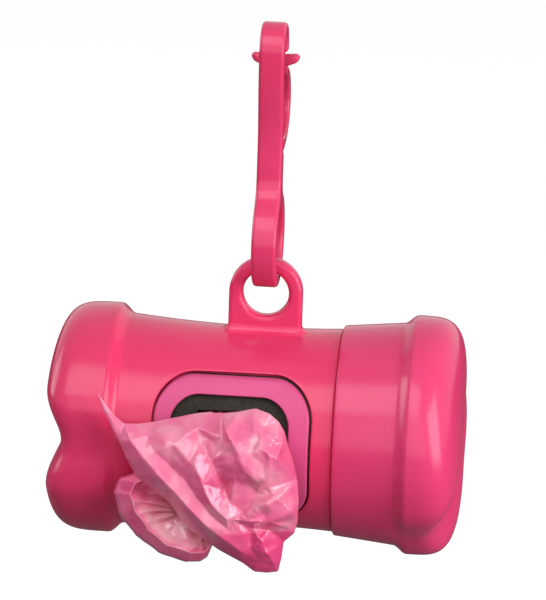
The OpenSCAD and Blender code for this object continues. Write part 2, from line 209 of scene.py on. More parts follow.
def bone_end(step, turn, base, peak, length, power, power_along):
    """Distance along the axis and radius of a bone end, a blend of a groove's and a lobe's
    profile whose share is a squared sine of the distance from the groove's middle. The
    profiles are boxier along the groove than across it."""
    groove_depth, groove_half = 3.4, 10.5
    power = power + (power_along - power) * np.cos(turn) ** 2
    lobe = bone_profile(step, base, peak, length, power)
    low = bone_profile(step, base, base, length - groove_depth, power)
    aside = np.abs(lobe[1] * np.sin(turn)) / groove_half
    share = np.sin(np.pi / 2 * np.clip(aside, 0, 1)) ** 2
    return low[0] + (lobe[0] - low[0]) * share, low[1] + (lobe[1] - low[1]) * share


def round_axis(x, r, turn):
    """Points at a radius round the casing's axis, the angle counted up from the front."""
    x, r, turn = np.broadcast_arrays(x, r, turn)
    return np.stack([x, -r * np.cos(turn), axis_z + r * np.sin(turn)], axis=-1)


def on_front(x, z, r):
    """Points on the front of a cylinder round the axis, from their view along Y."""
    x, z, r = np.broadcast_arrays(x, z, r)
    return np.stack([x, -np.sqrt(r ** 2 - z ** 2), axis_z + z], axis=-1)


def round_rect(angles, half, corner):
    """Points on a rectangle with round corners, where rays from its middle meet it."""
    part = np.linspace(0, np.pi / 2, 60)
    arcs = [np.stack([sx * (half[0] - corner), sz * (half[1] - corner)], axis=-1) + corner
            * np.stack([np.cos(part + start), np.sin(part + start)], axis=-1)
            for sx, sz, start in [(1, 1, 0), (-1, 1, np.pi / 2), (-1, -1, np.pi),
                                  (1, -1, 3 * np.pi / 2)]]
    line = np.concatenate(arcs + [arcs[0][:1]])
    share = np.linspace(0, 1, 40, endpoint=False)[:, None]
    line = np.concatenate([a + (b - a) * share for a, b in zip(line[:-1], line[1:])])
    ways = np.arctan2(line[:, 1], line[:, 0])
    order = np.argsort(ways)
    return np.stack([np.interp(angles, ways[order], line[order, i], period=2 * np.pi)
                     for i in (0, 1)], axis=-1)


def grid_faces(rows, columns, close_rows=False, keep=None):
    """Quads between the neighbours of a grid of points. Its columns close on themselves, its
    rows too if asked, and only the quads to keep are made."""
    i = np.arange(rows if close_rows else rows - 1)
    i, j = np.meshgrid(i, np.arange(columns), indexing="ij")
    a = i * columns + j
    b = i * columns + (j + 1) % columns
    c = (i + 1) % rows * columns + (j + 1) % columns
    d = (i + 1) % rows * columns + j
    quads = np.stack([a, b, c, d], axis=-1)
    return (quads if keep is None else quads[keep]).reshape(-1, 4)


def make_piece(name, grids, body, node, sharp=35, weld=2e-6):
    """A mesh from grids of points in millimetres, each with its own faces and, for film, how
    many layers lie at each point and where a painted highlight lies, welded where they meet
    and turned outwards."""
    points, faces, film_layers_and_highlight, first = [], [], [], 0
    for grid, quads, *depth in grids:
        flat = np.asarray(grid, float).reshape(-1, 3)
        points.append(flat)
        faces += (np.asarray(quads) + first).tolist()
        film_layers_and_highlight.append(np.broadcast_to(depth[0] if depth else 0.5, len(flat)))
        first += len(flat)
    mesh = bpy.data.meshes.new(name)
    mesh.from_pydata((np.concatenate(points) * MM).tolist(), [], faces)
    mesh.attributes.new("film_layers_and_highlight", "FLOAT", "POINT").data.foreach_set(
        "value", np.concatenate(film_layers_and_highlight).astype(np.float32))
    tidy = bmesh.new()
    tidy.from_mesh(mesh)
    bmesh.ops.remove_doubles(tidy, verts=tidy.verts, dist=weld)
    bmesh.ops.dissolve_degenerate(tidy, edges=tidy.edges, dist=weld / 2)
    bmesh.ops.recalc_face_normals(tidy, faces=tidy.faces)
    tidy.to_mesh(mesh)
    tidy.free()
    mesh.shade_smooth()
    mesh.set_sharp_from_angle(angle=math.radians(sharp))
    piece = bpy.data.objects.new(name, mesh)
    bpy.context.scene.collection.objects.link(piece)
    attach(piece, body)
    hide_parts(node)
    return piece


def span(*stops, count=2):
    """Even steps between each two stops, without repeating a stop."""
    runs = [np.linspace(a, b, count, endpoint=False) for a, b in zip(stops[:-1], stops[1:])]
    return np.concatenate(runs + [stops[-1:]])


turn = np.radians(np.arange(turns) * 360 / turns - 180)
step = np.linspace(1, 0, 90)[:, None]
end_along, end_radius = bone_end(step, turn[None], float(tube_r(left_x)), bone_r, bone_len,
                                 bone_power, groove_power)
bone_rows = round_axis(left_x - end_along, end_radius, turn[None])

# Rows of the tube, and the profile back through the neck's bead, the bore and the hollow.
lead_x = span(left_x, patch_low, count=4)[1:]
patch_x = np.linspace(patch_low, patch_high, patch_rows + 1)
tail_x = span(patch_high, rim_x - rim_edge, count=4)[1:]
rounding = np.radians([22.5, 45, 67.5, 90])
lip = [(rim_x - rim_edge * (1 - math.sin(a)), float(tube_r(rim_x)) - rim_edge * (1 - math.cos(a)))
       for a in rounding]
bead = [(bead_x + share * bead_half, neck_r + (1 - abs(share)) * bead_h)
        for share in (-1, -0.5, 0, 0.5, 1)]
neck = [(rim_x, neck_r + 0.2), (rim_x + 0.2, neck_r), *bead, (neck_x - 0.5, neck_r),
        (neck_x - 0.15, neck_r - 0.15), (neck_x, neck_r - 0.5), (neck_x, bore_r + bore_edge),
        (neck_x - bore_edge, bore_r)]
tube_x = np.concatenate([lead_x, patch_x[1:], tail_x])
outer_rows = [round_axis(tube_x[:, None], tube_r(tube_x)[:, None], turn[None])]
outer_rows += [round_axis(x, r, turn)[None] for x, r in lip + neck]
bore_x = np.concatenate([[20.0, 17.0], patch_x[::-1]])
inner = [(floor_x, bore_r), (floor_x, hollow_r + bore_edge), (floor_x - bore_edge, hollow_r),
         (end_x + 1.0, hollow_r), (end_x + 0.3, hollow_r - 0.3), (end_x, hollow_r - 1.0),
         (end_x, 8.0), (end_x, 0.0)]
inner_rows = [round_axis(bore_x[:, None], bore_r, turn[None])]
inner_rows += [round_axis(x, r, turn)[None] for x, r in inner]
shell = np.concatenate([bone_rows] + outer_rows + inner_rows)

# The window's frame of rows and columns is left out of the grid and filled by patches.
row_of_patch = len(bone_rows) + len(lead_x) - 1
row_of_bore = len(bone_rows) + len(tube_x) + len(lip) + len(neck) + 2
edge_turn = np.round(np.degrees(turn), 6)
column_low = int(np.where(edge_turn == -patch_turn)[0][0])
column_high = int(np.where(edge_turn == patch_turn)[0][0])
keep = np.ones((len(shell) - 1, turns), bool)
keep[row_of_patch:row_of_patch + patch_rows, column_low:column_high] = False
keep[row_of_bore:row_of_bore + patch_rows, column_low:column_high] = False

side_turn = turn[column_low:column_high + 1]
frame_x = np.concatenate([patch_x[:-1], np.full(len(side_turn) - 1, patch_high),
                          patch_x[:0:-1], np.full(len(side_turn) - 1, patch_low)])
frame_turn = np.concatenate([np.full(patch_rows, side_turn[0]), side_turn[:-1],
                             np.full(patch_rows, side_turn[-1]), side_turn[:0:-1]])
ways = np.arctan2(np.sin(frame_turn) * bore_r / window_half[1],
                  (frame_x - window_x) / window_half[0])


def window_line(half, corner):
    """The window's rounded rectangle, met by one ray for each point of the patch's frame."""
    line = round_rect(np.arctan2(np.sin(ways) * window_half[1], np.cos(ways) * window_half[0]),
                      half, corner)
    return line[:, 0] + window_x, line[:, 1]


def surround(line, radius_of, steps):
    """A patch from the frame of grid points to a line on the same round surface."""
    line_turn = np.arcsin(line[1] / radius_of(line[0]))
    share = np.linspace(0, 1, steps + 1)[:, None]
    x = frame_x + (line[0] - frame_x) * share
    return round_axis(x, radius_of(x), frame_turn + (line_turn - frame_turn) * share)


soft_edge = 0.35
outsets = soft_edge * (1 - np.sin(np.insert(rounding, 0, 0)))
edge_lines = [window_line((window_half[0] + outset, window_half[1] + outset),
                          window_corner + outset) for outset in outsets]
outside = surround(edge_lines[0], tube_r, 10)
drops = soft_edge * (1 - np.cos(rounding))
edge_rings = [on_front(*line, tube_r(line[0]) - drop)
              for line, drop in zip(edge_lines[1:], drops)]
wall_line, hatch_line = edge_lines[-1], window_line(hatch_half, hatch_corner)
wall_rings = [on_front(*wall_line, r) for r in (recess_r + 0.4, recess_r)]
ledge_rings = [on_front(*(np.array(wall_line) + (np.array(hatch_line) - np.array(wall_line))
                          * share), recess_r) for share in (0.5, 1)]
bore_patch = surround(hatch_line, lambda x: np.full_like(x, bore_r), 8)[::-1]
window_rings = np.concatenate([outside, np.stack(edge_rings + wall_rings + ledge_rings),
                               bore_patch])

# The lug is a plate with a round hole, its edges rounded and its root filleted on the tube.
hole_z = hole[2] / MM
lug_hole_r, lug_out, lug_half, lug_edge = 4.6, 7.4, 1.6, 1.0
lug_sink, root_fillet = 1.2, 1.4


def section(width, half, edge):
    """A rectangle with round corners, gone round once: distances across its width, which may
    differ from ray to ray, and heights over its middle."""
    between = 6
    part = np.radians(np.linspace(0, 90, 7))
    share = np.linspace(0, 1, between + 2)[1:-1]
    across_it, up_it = [], []
    for start, near, low in ((180, 1, 1), (270, 0, 1), (0, 0, 0), (90, 1, 0)):
        way = np.radians(start) + part
        across_it.append((edge if near else width - edge) + edge * np.cos(way))
        up_it.append((-1 if low else 1) * (half - edge) + edge * np.sin(way))
        if start == 180:
            across_it.append(edge + (width - 2 * edge) * share)
            up_it.append(np.full(between, -half))
        if start == 0:
            across_it.append(edge + (width - 2 * edge) * share[::-1])
            up_it.append(np.full(between, half))
    return np.concatenate([a + np.zeros_like(width) for a in across_it], axis=1), \
        np.concatenate(up_it)[None]


lug_turn = np.linspace(0, 2 * np.pi, 192, endpoint=False)
ray = np.stack([np.cos(lug_turn), np.sin(lug_turn)], axis=-1)
low_ray = ray[:, 1] < 0
reach = np.where(low_ray, np.minimum(
    lug_out / np.maximum(np.abs(ray[:, 0]), 1e-9),
    (hole_z - axis_z - waist_r + lug_sink) / np.maximum(-ray[:, 1], 1e-9)), lug_out)
out, y = section((reach - lug_hole_r)[:, None], lug_half, lug_edge)
lug = np.stack([ray[:, :1] * (lug_hole_r + out), y + 0 * out,
                hole_z + ray[:, 1:] * (lug_hole_r + out)], axis=-1)
core = np.stack([np.clip(lug[..., 0], lug_edge - lug_out, lug_out - lug_edge),
                 np.clip(lug[..., 1], lug_edge - lug_half, lug_half - lug_edge)], axis=-1)
over_tube = lug[..., 2] - axis_z - np.sqrt(tube_r(lug[..., 0]) ** 2 - lug[..., 1] ** 2)
short = np.clip(root_fillet - over_tube, 0, root_fillet)
lug[..., :2] += (lug[..., :2] - core) / lug_edge \
    * (root_fillet - np.sqrt(root_fillet ** 2 - short ** 2))[..., None]

casing_shell = make_piece("casing_shell", [
    (shell, grid_faces(len(shell), turns, keep=keep)),
    (window_rings, grid_faces(len(window_rings), window_rings.shape[1])),
    (lug, grid_faces(*lug.shape[:2], close_rows=True))], "case", "casing")


def new_look(name, values):
    """A material, its nodes, its shader with plain values, and the piece's own coordinates
    as a socket."""
    look = bpy.data.materials.new(name)
    look.use_nodes = True
    tree = look.node_tree
    shader = tree.nodes["Principled BSDF"]
    set_values(shader, values)
    return look, tree, shader, add_node(tree, "TexCoord").outputs["Object"]


def moulded_plastic(name, colour, deep, gloss, grain=0.05):
    """Satin-gloss moulded plastic: clouds of a deeper pigment, a roughness that varies a
    little, and a fine grain from the mould as bump."""
    look, tree, shader, where = new_look(name, {"Specular IOR Level": 0.3})
    clouds = add_node(tree, "TexNoise", {"Scale": 55, "Detail": 3})
    mottle = add_node(tree, "MapRange", {"From Min": 0.35, "From Max": 0.70})
    pigment = add_node(tree, "Mix", {"A": (*colour, 1), "B": (*deep, 1)}, data_type="RGBA")
    patches = add_node(tree, "TexNoise", {"Scale": 240})
    dull = add_node(tree, "MapRange", {"To Min": gloss - 0.03, "To Max": gloss + 0.05})
    pores = add_node(tree, "TexNoise", {"Scale": 2600, "Detail": 2})
    bump = add_node(tree, "Bump", {"Strength": grain, "Distance": 0.0001})
    for texture in (clouds, patches, pores):
        tree.links.new(where, texture.inputs["Vector"])
    tree.links.new(clouds.outputs["Fac"], mottle.inputs["Value"])
    tree.links.new(mottle.outputs[0], pigment.inputs["Factor"])
    tree.links.new(pigment.outputs["Result"], shader.inputs["Base Color"])
    tree.links.new(patches.outputs["Fac"], dull.inputs["Value"])
    tree.links.new(dull.outputs[0], shader.inputs["Roughness"])
    tree.links.new(pores.outputs["Fac"], bump.inputs["Height"])
    tree.links.new(bump.outputs[0], shader.inputs["Normal"])
    return look


casing_shell.data.materials.append(moulded_plastic(
    "casing_plastic", (0.80, 0.045, 0.150), (0.77, 0.038, 0.134), 0.21))

# The membrane: a die-cut sheet of black rubber, dimpled on its face, with a slit that
# has a round hole at each end and lips pushed out a little by the film.
membrane_low, membrane_high = 19.05, 19.75
membrane_half, membrane_corner, membrane_shift = (15.35, 14.3), 7.4, [0.3, 0]
slit_z, slit_half, slit_width, slit_end = 7.65, 6.0, 1.3, 0.9
ring_count = 256
around = np.linspace(0, 2 * np.pi, ring_count, endpoint=False)


def along_line(points, count):
    """Points at even steps along a closed line."""
    line = np.concatenate([points, points[:1]])
    run = np.concatenate([[0], np.cumsum(np.linalg.norm(np.diff(line, axis=0), axis=1))])
    at = np.linspace(0, 1, count, endpoint=False) * run[-1]
    return np.stack([np.interp(at, run, line[:, i]) for i in range(line.shape[1])], axis=-1)


meet = math.asin(slit_width / 2 / slit_end)
arc = np.linspace(0, np.pi - meet, 24)
right_top = np.stack([slit_half + slit_end * np.cos(arc), slit_end * np.sin(arc)], axis=-1)
left_top = right_top[::-1] * [-1, 1]
slit_line = np.concatenate([right_top, left_top, (left_top * [1, -1])[::-1][1:],
                            (right_top * [1, -1])[::-1][:-1]])
slit_line = along_line(slit_line, ring_count)
rim_line = round_rect(around, membrane_half, membrane_corner) + membrane_shift
share = np.linspace(0, 1, 40) ** 0.6
blend = rim_line + ((slit_line + [0, slit_z]) - rim_line) * share[:, None, None]
lip_away = np.linalg.norm(blend - blend[-1:], axis=-1)
lips = 0.35 * np.exp(-(lip_away / 1.3) ** 2) * np.clip(lip_away / 0.25, 0.4, 1)
top = on_front(window_x + blend[..., 0], blend[..., 1], membrane_high + lips)
under = on_front(window_x + blend[..., 0], blend[..., 1], membrane_low + 0.5 * lips)
membrane = np.concatenate([top, under[::-1]])
slit_sheet = make_piece("slit_sheet", [
    (membrane, grid_faces(len(membrane), ring_count, close_rows=True))],
    "case", "slit_membrane")

rubber, tree, shader, where = new_look("dimpled_rubber",
                                       {"Roughness": 0.75, "Specular IOR Level": 0.2})
dimples = add_node(tree, "TexVoronoi", {"Scale": 1500})
dust = add_node(tree, "TexNoise", {"Scale": 900, "Detail": 6})
tone = add_node(tree, "Mix", {"A": (0.010, 0.009, 0.007, 1), "B": (0.050, 0.046, 0.036, 1)},
                data_type="RGBA")
bump = add_node(tree, "Bump", {"Strength": 0.6, "Distance": 0.0002})
tree.links.new(where, dimples.inputs["Vector"])
tree.links.new(where, dust.inputs["Vector"])
tree.links.new(dust.outputs["Fac"], tone.inputs["Factor"])
tree.links.new(tone.outputs["Result"], shader.inputs["Base Color"])
tree.links.new(dimples.outputs["Distance"], bump.inputs["Height"])
tree.links.new(bump.outputs[0], shader.inputs["Normal"])
slit_sheet.data.materials.append(rubber)

# The bezel: a curved, moulded frame in a slightly bluer, matter pink. It lies on the
# membrane, and four round pins behind it go through the membrane into the casing.
bezel_r, bezel_t, bezel_edge = 19.8, 1.25, 0.32
bezel_half, bezel_corner = (15.3, 14.4), 7.4
opening_half, opening_corner, opening_shift = (11.7, 10.85), 5.6, [-0.4, 0.45]
pin_r, pin_x, pin_z, pin_sides = 0.8, 13.3, 5.04, 24
bezel_outer = round_rect(around, bezel_half, bezel_corner)
bezel_inner = round_rect(around, opening_half, opening_corner) + opening_shift
span_in = np.linalg.norm(bezel_inner - bezel_outer, axis=1, keepdims=True)
out, rise = section(span_in, bezel_t / 2, bezel_edge)
band = bezel_outer[:, None] + ((bezel_inner - bezel_outer) / span_in)[:, None] * out[..., None]
bezel = on_front(window_x + band[..., 0], band[..., 1], bezel_r + bezel_t / 2 + rise)
pin_turn = np.linspace(0, 2 * np.pi, pin_sides, endpoint=False)
pin_rows = np.array([(18.26, 0), (18.26, pin_r - 0.15), (18.4, pin_r), (20.2, pin_r), (20.2, 0)])
pins = []
for side in (-1, 1):
    for end in (-1, 1):
        pin = np.stack([window_x + side * pin_x + pin_rows[:, 1:] * np.cos(pin_turn),
                        -pin_rows[:, :1] + 0 * pin_turn,
                        axis_z + end * pin_z + pin_rows[:, 1:] * np.sin(pin_turn)], axis=-1)
        pins.append((pin, grid_faces(len(pin_rows), pin_sides)))
window_frame = make_piece("window_frame", [
    (bezel, grid_faces(*bezel.shape[:2], close_rows=True))] + pins,
    "case", "window_bezel")
window_frame.data.materials.append(moulded_plastic(
    "bezel_plastic", (0.72, 0.085, 0.255), (0.67, 0.072, 0.225), 0.42, grain=0.10))

# The roll: thin film wound on a core of plain card, seen when the cap is off. Both are
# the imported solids, with the film's layers and the card's fibres in their materials.
core_piece, roll_piece = frame["nodes"]["roll_core"], frame["nodes"]["bag_roll"]
roll_middle = (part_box("bag_roll")[0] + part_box("bag_roll")[1]) / 2


def wound_layers(name, colour, edge, turns_per_m, roughness):
    """Fine rings round the roll's own axis, which show as layers on its ends, broken up by
    noise that is drawn out along it."""
    look, tree, shader, where = new_look(name, {"Roughness": roughness})
    centred = add_node(tree, "Mapping", {"Location": -roll_middle}, vector_type="POINT")
    rings = add_node(tree, "TexWave", {"Scale": turns_per_m, "Distortion": 1.5, "Detail": 2},
                     wave_type="RINGS", rings_direction="X")
    stretch = add_node(tree, "Mapping", {"Scale": (60, 500, 500)})
    fibres = add_node(tree, "TexNoise", {"Scale": 1, "Detail": 5})
    tone = add_node(tree, "Mix", {"A": (*colour, 1), "B": (*edge, 1)}, data_type="RGBA")
    mixed = add_node(tree, "Math", operation="MULTIPLY")
    bump = add_node(tree, "Bump", {"Strength": 0.5, "Distance": 0.0002})
    tree.links.new(where, centred.inputs["Vector"])
    tree.links.new(centred.outputs[0], rings.inputs["Vector"])
    tree.links.new(where, stretch.inputs["Vector"])
    tree.links.new(stretch.outputs[0], fibres.inputs["Vector"])
    tree.links.new(rings.outputs["Fac"], mixed.inputs[0])
    tree.links.new(fibres.outputs["Fac"], mixed.inputs[1])
    tree.links.new(mixed.outputs[0], tone.inputs["Factor"])
    tree.links.new(tone.outputs["Result"], shader.inputs["Base Color"])
    tree.links.new(mixed.outputs[0], bump.inputs["Height"])
    tree.links.new(bump.outputs[0], shader.inputs["Normal"])
    return look


core_piece.data.materials.clear()
core_piece.data.materials.append(wound_layers(
    "wound_card", (0.46, 0.31, 0.18), (0.30, 0.19, 0.10), 900, 0.85))
roll_piece.data.materials.clear()
roll_piece.data.materials.append(wound_layers(
    "wound_film", (0.80, 0.16, 0.34), (0.93, 0.42, 0.58), 700, 0.35))

# The cap: a moulded skirt that pushes on over the neck, closed by a second bone end. It
# is pressed on by hand and sits turned from the casing's own bone end.
skirt_low, skirt_end, cap_floor, cap_turn = 15.75, 27.7, 35.0, math.radians(48)
skirt_r, knob_base, skirt_bore, skirt_edge = 21.2, 22.4, 19.95, 0.4
knob_r, knob_len, knob_power, knob_groove_power = 24.1, 13.7, 2.6, 4.2
knob_along, knob_radius = bone_end(step, turn[None] + cap_turn, knob_base, knob_r, knob_len,
                                   knob_power, knob_groove_power)
knob_rows = round_axis(skirt_end + knob_along, knob_radius, turn[None])
edge_x = skirt_low + skirt_edge
skirt_x = span(skirt_end, edge_x, count=12)[1:]
skirt_slope = (knob_base - skirt_r) / (skirt_end - skirt_low)
edge_r = skirt_r + skirt_slope * skirt_edge
rim_curve = [(edge_x - skirt_edge * math.sin(a), edge_r - skirt_edge * (1 - math.cos(a)))
             for a in np.radians([30, 60, 90])]
inside = [(skirt_low, skirt_bore + 0.35), (skirt_low + 0.1, skirt_bore + 0.15),
          (skirt_low + 0.35, skirt_bore), (20.0, skirt_bore), (24.0, skirt_bore),
          (28.0, skirt_bore), (28.0, bore_r + bore_edge), (28.3, bore_r), (32.0, bore_r),
          (cap_floor - 0.3, bore_r), (cap_floor, bore_r - 0.3), (cap_floor, 9.0),
          (cap_floor, 0.0)]
cap_rows = [round_axis(skirt_x[:, None], knob_base + (skirt_x[:, None] - skirt_end) * skirt_slope,
                       turn[None])]
cap_rows += [round_axis(x, r, turn)[None] for x, r in rim_curve + inside]
cap_grid = np.concatenate([knob_rows] + cap_rows)
cap_shell = make_piece("cap_shell", [(cap_grid, grid_faces(len(cap_grid), turns))],
                       "cap", "cap")
cap_shell.data.materials.append(moulded_plastic(
    "cap_plastic", (0.80, 0.054, 0.180), (0.77, 0.046, 0.162), 0.20, grain=0.03))

# The hook: one moulding in the casing's plastic, with a ring through the lug, a waist, a
# bowed back bar and a crown that ends in a short nose. All its edges are rounded.
hook_half, bar_t, ring_z, ring_in, ring_out = 2.5, 2.5, -38.5, 7.1, 9.6
waist_y, waist_top, crown_mid, nose_low = (-2.6, 1.8), -19.5, 4.15, -1.3
front_foot_r, back_foot_r, socket_r, hook_edge = 6, 4, 1.5, 0.75


def bezier(a, b, c, d, count):
    """Points on a cubic curve from a to d, drawn towards b and c."""
    t = np.linspace(0, 1, count)[:, None]
    return ((1 - t) ** 3 * np.array(a) + 3 * (1 - t) ** 2 * t * np.array(b)
            + 3 * (1 - t) * t ** 2 * np.array(c) + t ** 3 * np.array(d))


def arc_line(middle, r, start, end, count):
    """Points on an arc round a middle, from one angle to another, in degrees."""
    way = np.radians(np.linspace(start, end, count))[:, None]
    return np.array(middle) + r * np.concatenate([np.cos(way), np.sin(way)], axis=1)


def aside(line, distance, closed=False):
    """A line moved to its left by a distance, along the normals between its neighbours."""
    if closed:
        run = np.roll(line, -1, axis=0) - np.roll(line, 1, axis=0)
    else:
        run = np.gradient(line, axis=0)
    run = run / np.maximum(np.linalg.norm(run, axis=1, keepdims=True), 1e-9)
    return line + distance * np.stack([-run[:, 1], run[:, 0]], axis=-1)


def round_corners(line, reach, count):
    """A closed line resampled evenly, each point drawn to the mean of those within reach."""
    line = along_line(line, count)
    wide = int(reach / np.linalg.norm(line[1] - line[0]))
    return sum(np.roll(line, k, axis=0) for k in range(-wide, wide + 1)) / (2 * wide + 1)


def rounded_slab(line, half, edge, holes=()):
    """Grids of a flat outline given a thickness along X: walls whose edges are rounded in
    from the outline, and two flat faces inside them."""
    way = np.radians(np.linspace(0, 90, 8))
    x = np.concatenate([-(half - edge) - edge * np.cos(way), half - edge + edge * np.sin(way)])
    drawn_in = edge * np.concatenate([1 - np.sin(way), 1 - np.cos(way)])
    grids, caps = [], []
    for loop in (line, *holes):
        wall = np.stack([aside(loop, d, closed=True) for d in drawn_in])
        grids.append((np.concatenate([np.broadcast_to(x[:, None, None], (*wall.shape[:2], 1)),
                                      wall], axis=-1), grid_faces(len(x), len(loop))))
        caps.append(wall[0])
    flat = geometry.tessellate_polygon([[Vector((*p, 0)) for p in loop] for loop in caps])
    for side in (-half, half):
        points = np.concatenate(caps)
        grids.append((np.insert(points, 0, side, axis=1), np.array(flat)))
    return grids


def foot(side, y, r):
    """The hollow arc between one side of the waist and the ring, from the waist down."""
    reach = abs(y) + r
    rise = math.sqrt((ring_out + r) ** 2 - reach ** 2)
    start = math.degrees(math.atan2(rise, reach))
    arc = arc_line((0, 0), r, 180, 180 + start, 16) + [reach, rise]
    return arc * [side, 1] + [0, ring_z], start


back_y = waist_y[0] + bar_t / 2
back_path = bezier((back_y, waist_top - 1), (back_y, waist_top + 8),
                   (-crown_mid, waist_top + 9), (-crown_mid, 0), 60)
crown_path = arc_line((0, 0), crown_mid, 180, 0, 60)[1:]
nose_path = np.array([(crown_mid, -0.6), (crown_mid, nose_low + 0.45)])
path = np.concatenate([back_path, crown_path, nose_path])
outer_side, inner_side = aside(path, bar_t / 2), aside(path, -bar_t / 2)
nose_end = np.array([(crown_mid + 0.8, nose_low), (crown_mid - 0.8, nose_low)])
front_foot, front_start = foot(-1, waist_y[0], front_foot_r)
back_foot, back_start = foot(1, waist_y[1], back_foot_r)
socket = arc_line((waist_y[1], waist_top), socket_r, 180, 270, 16)
around_ring = arc_line((0, ring_z), ring_out, back_start, -180 - front_start, 120)[1:-1]
hook_line = np.concatenate([outer_side[1:], nose_end, inner_side[:1:-1],
                            [(-0.1, waist_top), (0.1, waist_top)], socket, back_foot,
                            around_ring, front_foot[::-1]])[::-1]
ring_line = arc_line((0, ring_z), ring_in, 0, -360, 161)[:-1]
hook_body = make_piece("hook_body", rounded_slab(
    round_corners(hook_line, 0.35, 900), hook_half, hook_edge, [ring_line]),
    "hook", "clip_hook")
hook_plastic = moulded_plastic("hook_plastic", (0.80, 0.052, 0.165), (0.75, 0.040, 0.130), 0.21)
hook_body.data.materials.append(hook_plastic)

# The gate: the hook's sprung leaf, rooted in its waist by a living hinge. It bows out
# and closes up under the nose with a bar whose ends stand out as turned-up ears for a thumb.
gate_root, gate_bow, tee_z = (waist_y[1], waist_top), 13.8, -3.05
leaf_half, leaf_edge, root_r = 0.9, 0.6, 1.35
leaf_path = bezier(gate_root, (gate_bow + 1.4, waist_top - 0.4), (gate_bow + 3.2, tee_z - 4.6),
                   (crown_mid + 0.3, tee_z - 2.0), 80)
leaf_path = np.concatenate([leaf_path, [(crown_mid, tee_z - 0.6), (crown_mid, tee_z)]])
left_side, right_side = aside(leaf_path, leaf_half), aside(leaf_path, -leaf_half)
root_arc = arc_line(gate_root, root_r, 70, 290, 24)
leaf_line = np.concatenate([left_side[6:], right_side[:5:-1], root_arc[::-1]])[::-1]
leaf_line = round_corners(leaf_line, 0.45, 500)

# The bar across the tip: a rounded section that shrinks to a point at either turned-up end.
ear_half, ear_round, ear_deep, ear_high, ear_edge = 4.8, 0.9, 2.2, 1.3, 0.8
ear_flat = ear_half - ear_round
ear_cap = ear_half - ear_round * (1 - np.cos(np.linspace(np.pi / 2, 0, 10)))
ear_x = np.concatenate([-ear_cap[::-1], np.linspace(-ear_flat, ear_flat, 40)[1:-1],
                        ear_cap])[:, None]
past_flat = np.clip(np.abs(ear_x) - ear_flat, 0, ear_round) / ear_round
shrink = np.sqrt(np.clip(1 - past_flat ** 2, 0, 1))
deep, high = section(np.full((1, 1), ear_deep), ear_high, ear_edge)
deep, high = (deep - ear_deep / 2) * shrink, high * shrink
bend = (np.abs(ear_x) / ear_half) ** 2
ears = np.stack([ear_x + 0 * deep, crown_mid + deep,
                 tee_z + high + bend * (0.25 + 0.55 * (ear_high - high) / ear_high)], axis=-1)
gate_leaf = make_piece("gate_leaf", rounded_slab(leaf_line, hook_half, leaf_edge)
                       + [(ears, grid_faces(*ears.shape[:2]))],
                       "gate", "clip_gate")
gate_leaf.data.materials.append(moulded_plastic(
    "gate_plastic", (0.78, 0.050, 0.158), (0.72, 0.038, 0.120), 0.21))

# The leading bag: thin, glossy, translucent film, pulled out through the slit and left
# crumpled. Its body is a flattened lump with a twisted wing at the left, and a loop of the
# bag's open end hangs out below. A pleated tail runs back through the slit to the roll.
bag_face = bezel_r + bezel_t

# The rim of the body, the corners of its folds and those of its rear sheet, each as
# millimetres along the casing, up from its axis and out from the bezel's face.
bag_rim = [
    (-30.2, 12.5, 3.5), (-28.4, 10.4, 4.2), (-26.8, 8.6, 4.5), (-24.7, 6.9, 4.6),
    (-21.7, 7.0, 4.4), (-18.7, 7.5, 4.0), (-15.0, 8.4, 3.6), (-11.3, 9.4, 3.4),
    (-8.7, 9.9, 3.4), (-5.8, 10.0, 4.0), (-2.2, 10.7, 4.4), (0.9, 11.6, 4.6),
    (3.8, 10.9, 5.2), (5.7, 9.2, 5.0), (6.8, 7.2, 4.6), (7.6, 4.2, 4.4), (8.6, 1.7, 4.8),
    (9.6, -2.1, 5.0), (10.1, -6.7, 5.2), (10.0, -10.8, 5.4), (9.4, -13.4, 5.0),
    (7.4, -15.4, 4.6), (7.1, -18.5, 5.0), (6.5, -21.5, 5.0), (4.5, -21.7, 5.6),
    (1.9, -21.5, 6.0), (-0.4, -19.7, 6.4), (-2.7, -18.5, 6.6), (-5.3, -17.1, 6.8),
    (-8.0, -15.3, 6.8), (-10.7, -13.5, 6.6), (-13.5, -10.6, 6.4), (-15.4, -8.0, 6.4),
    (-18.1, -6.1, 6.6), (-20.4, -4.5, 6.6), (-22.2, -2.8, 6.2), (-23.8, 0.0, 6.0),
    (-25.4, 3.3, 5.6), (-27.0, 6.2, 5.2), (-28.6, 8.9, 4.6)]
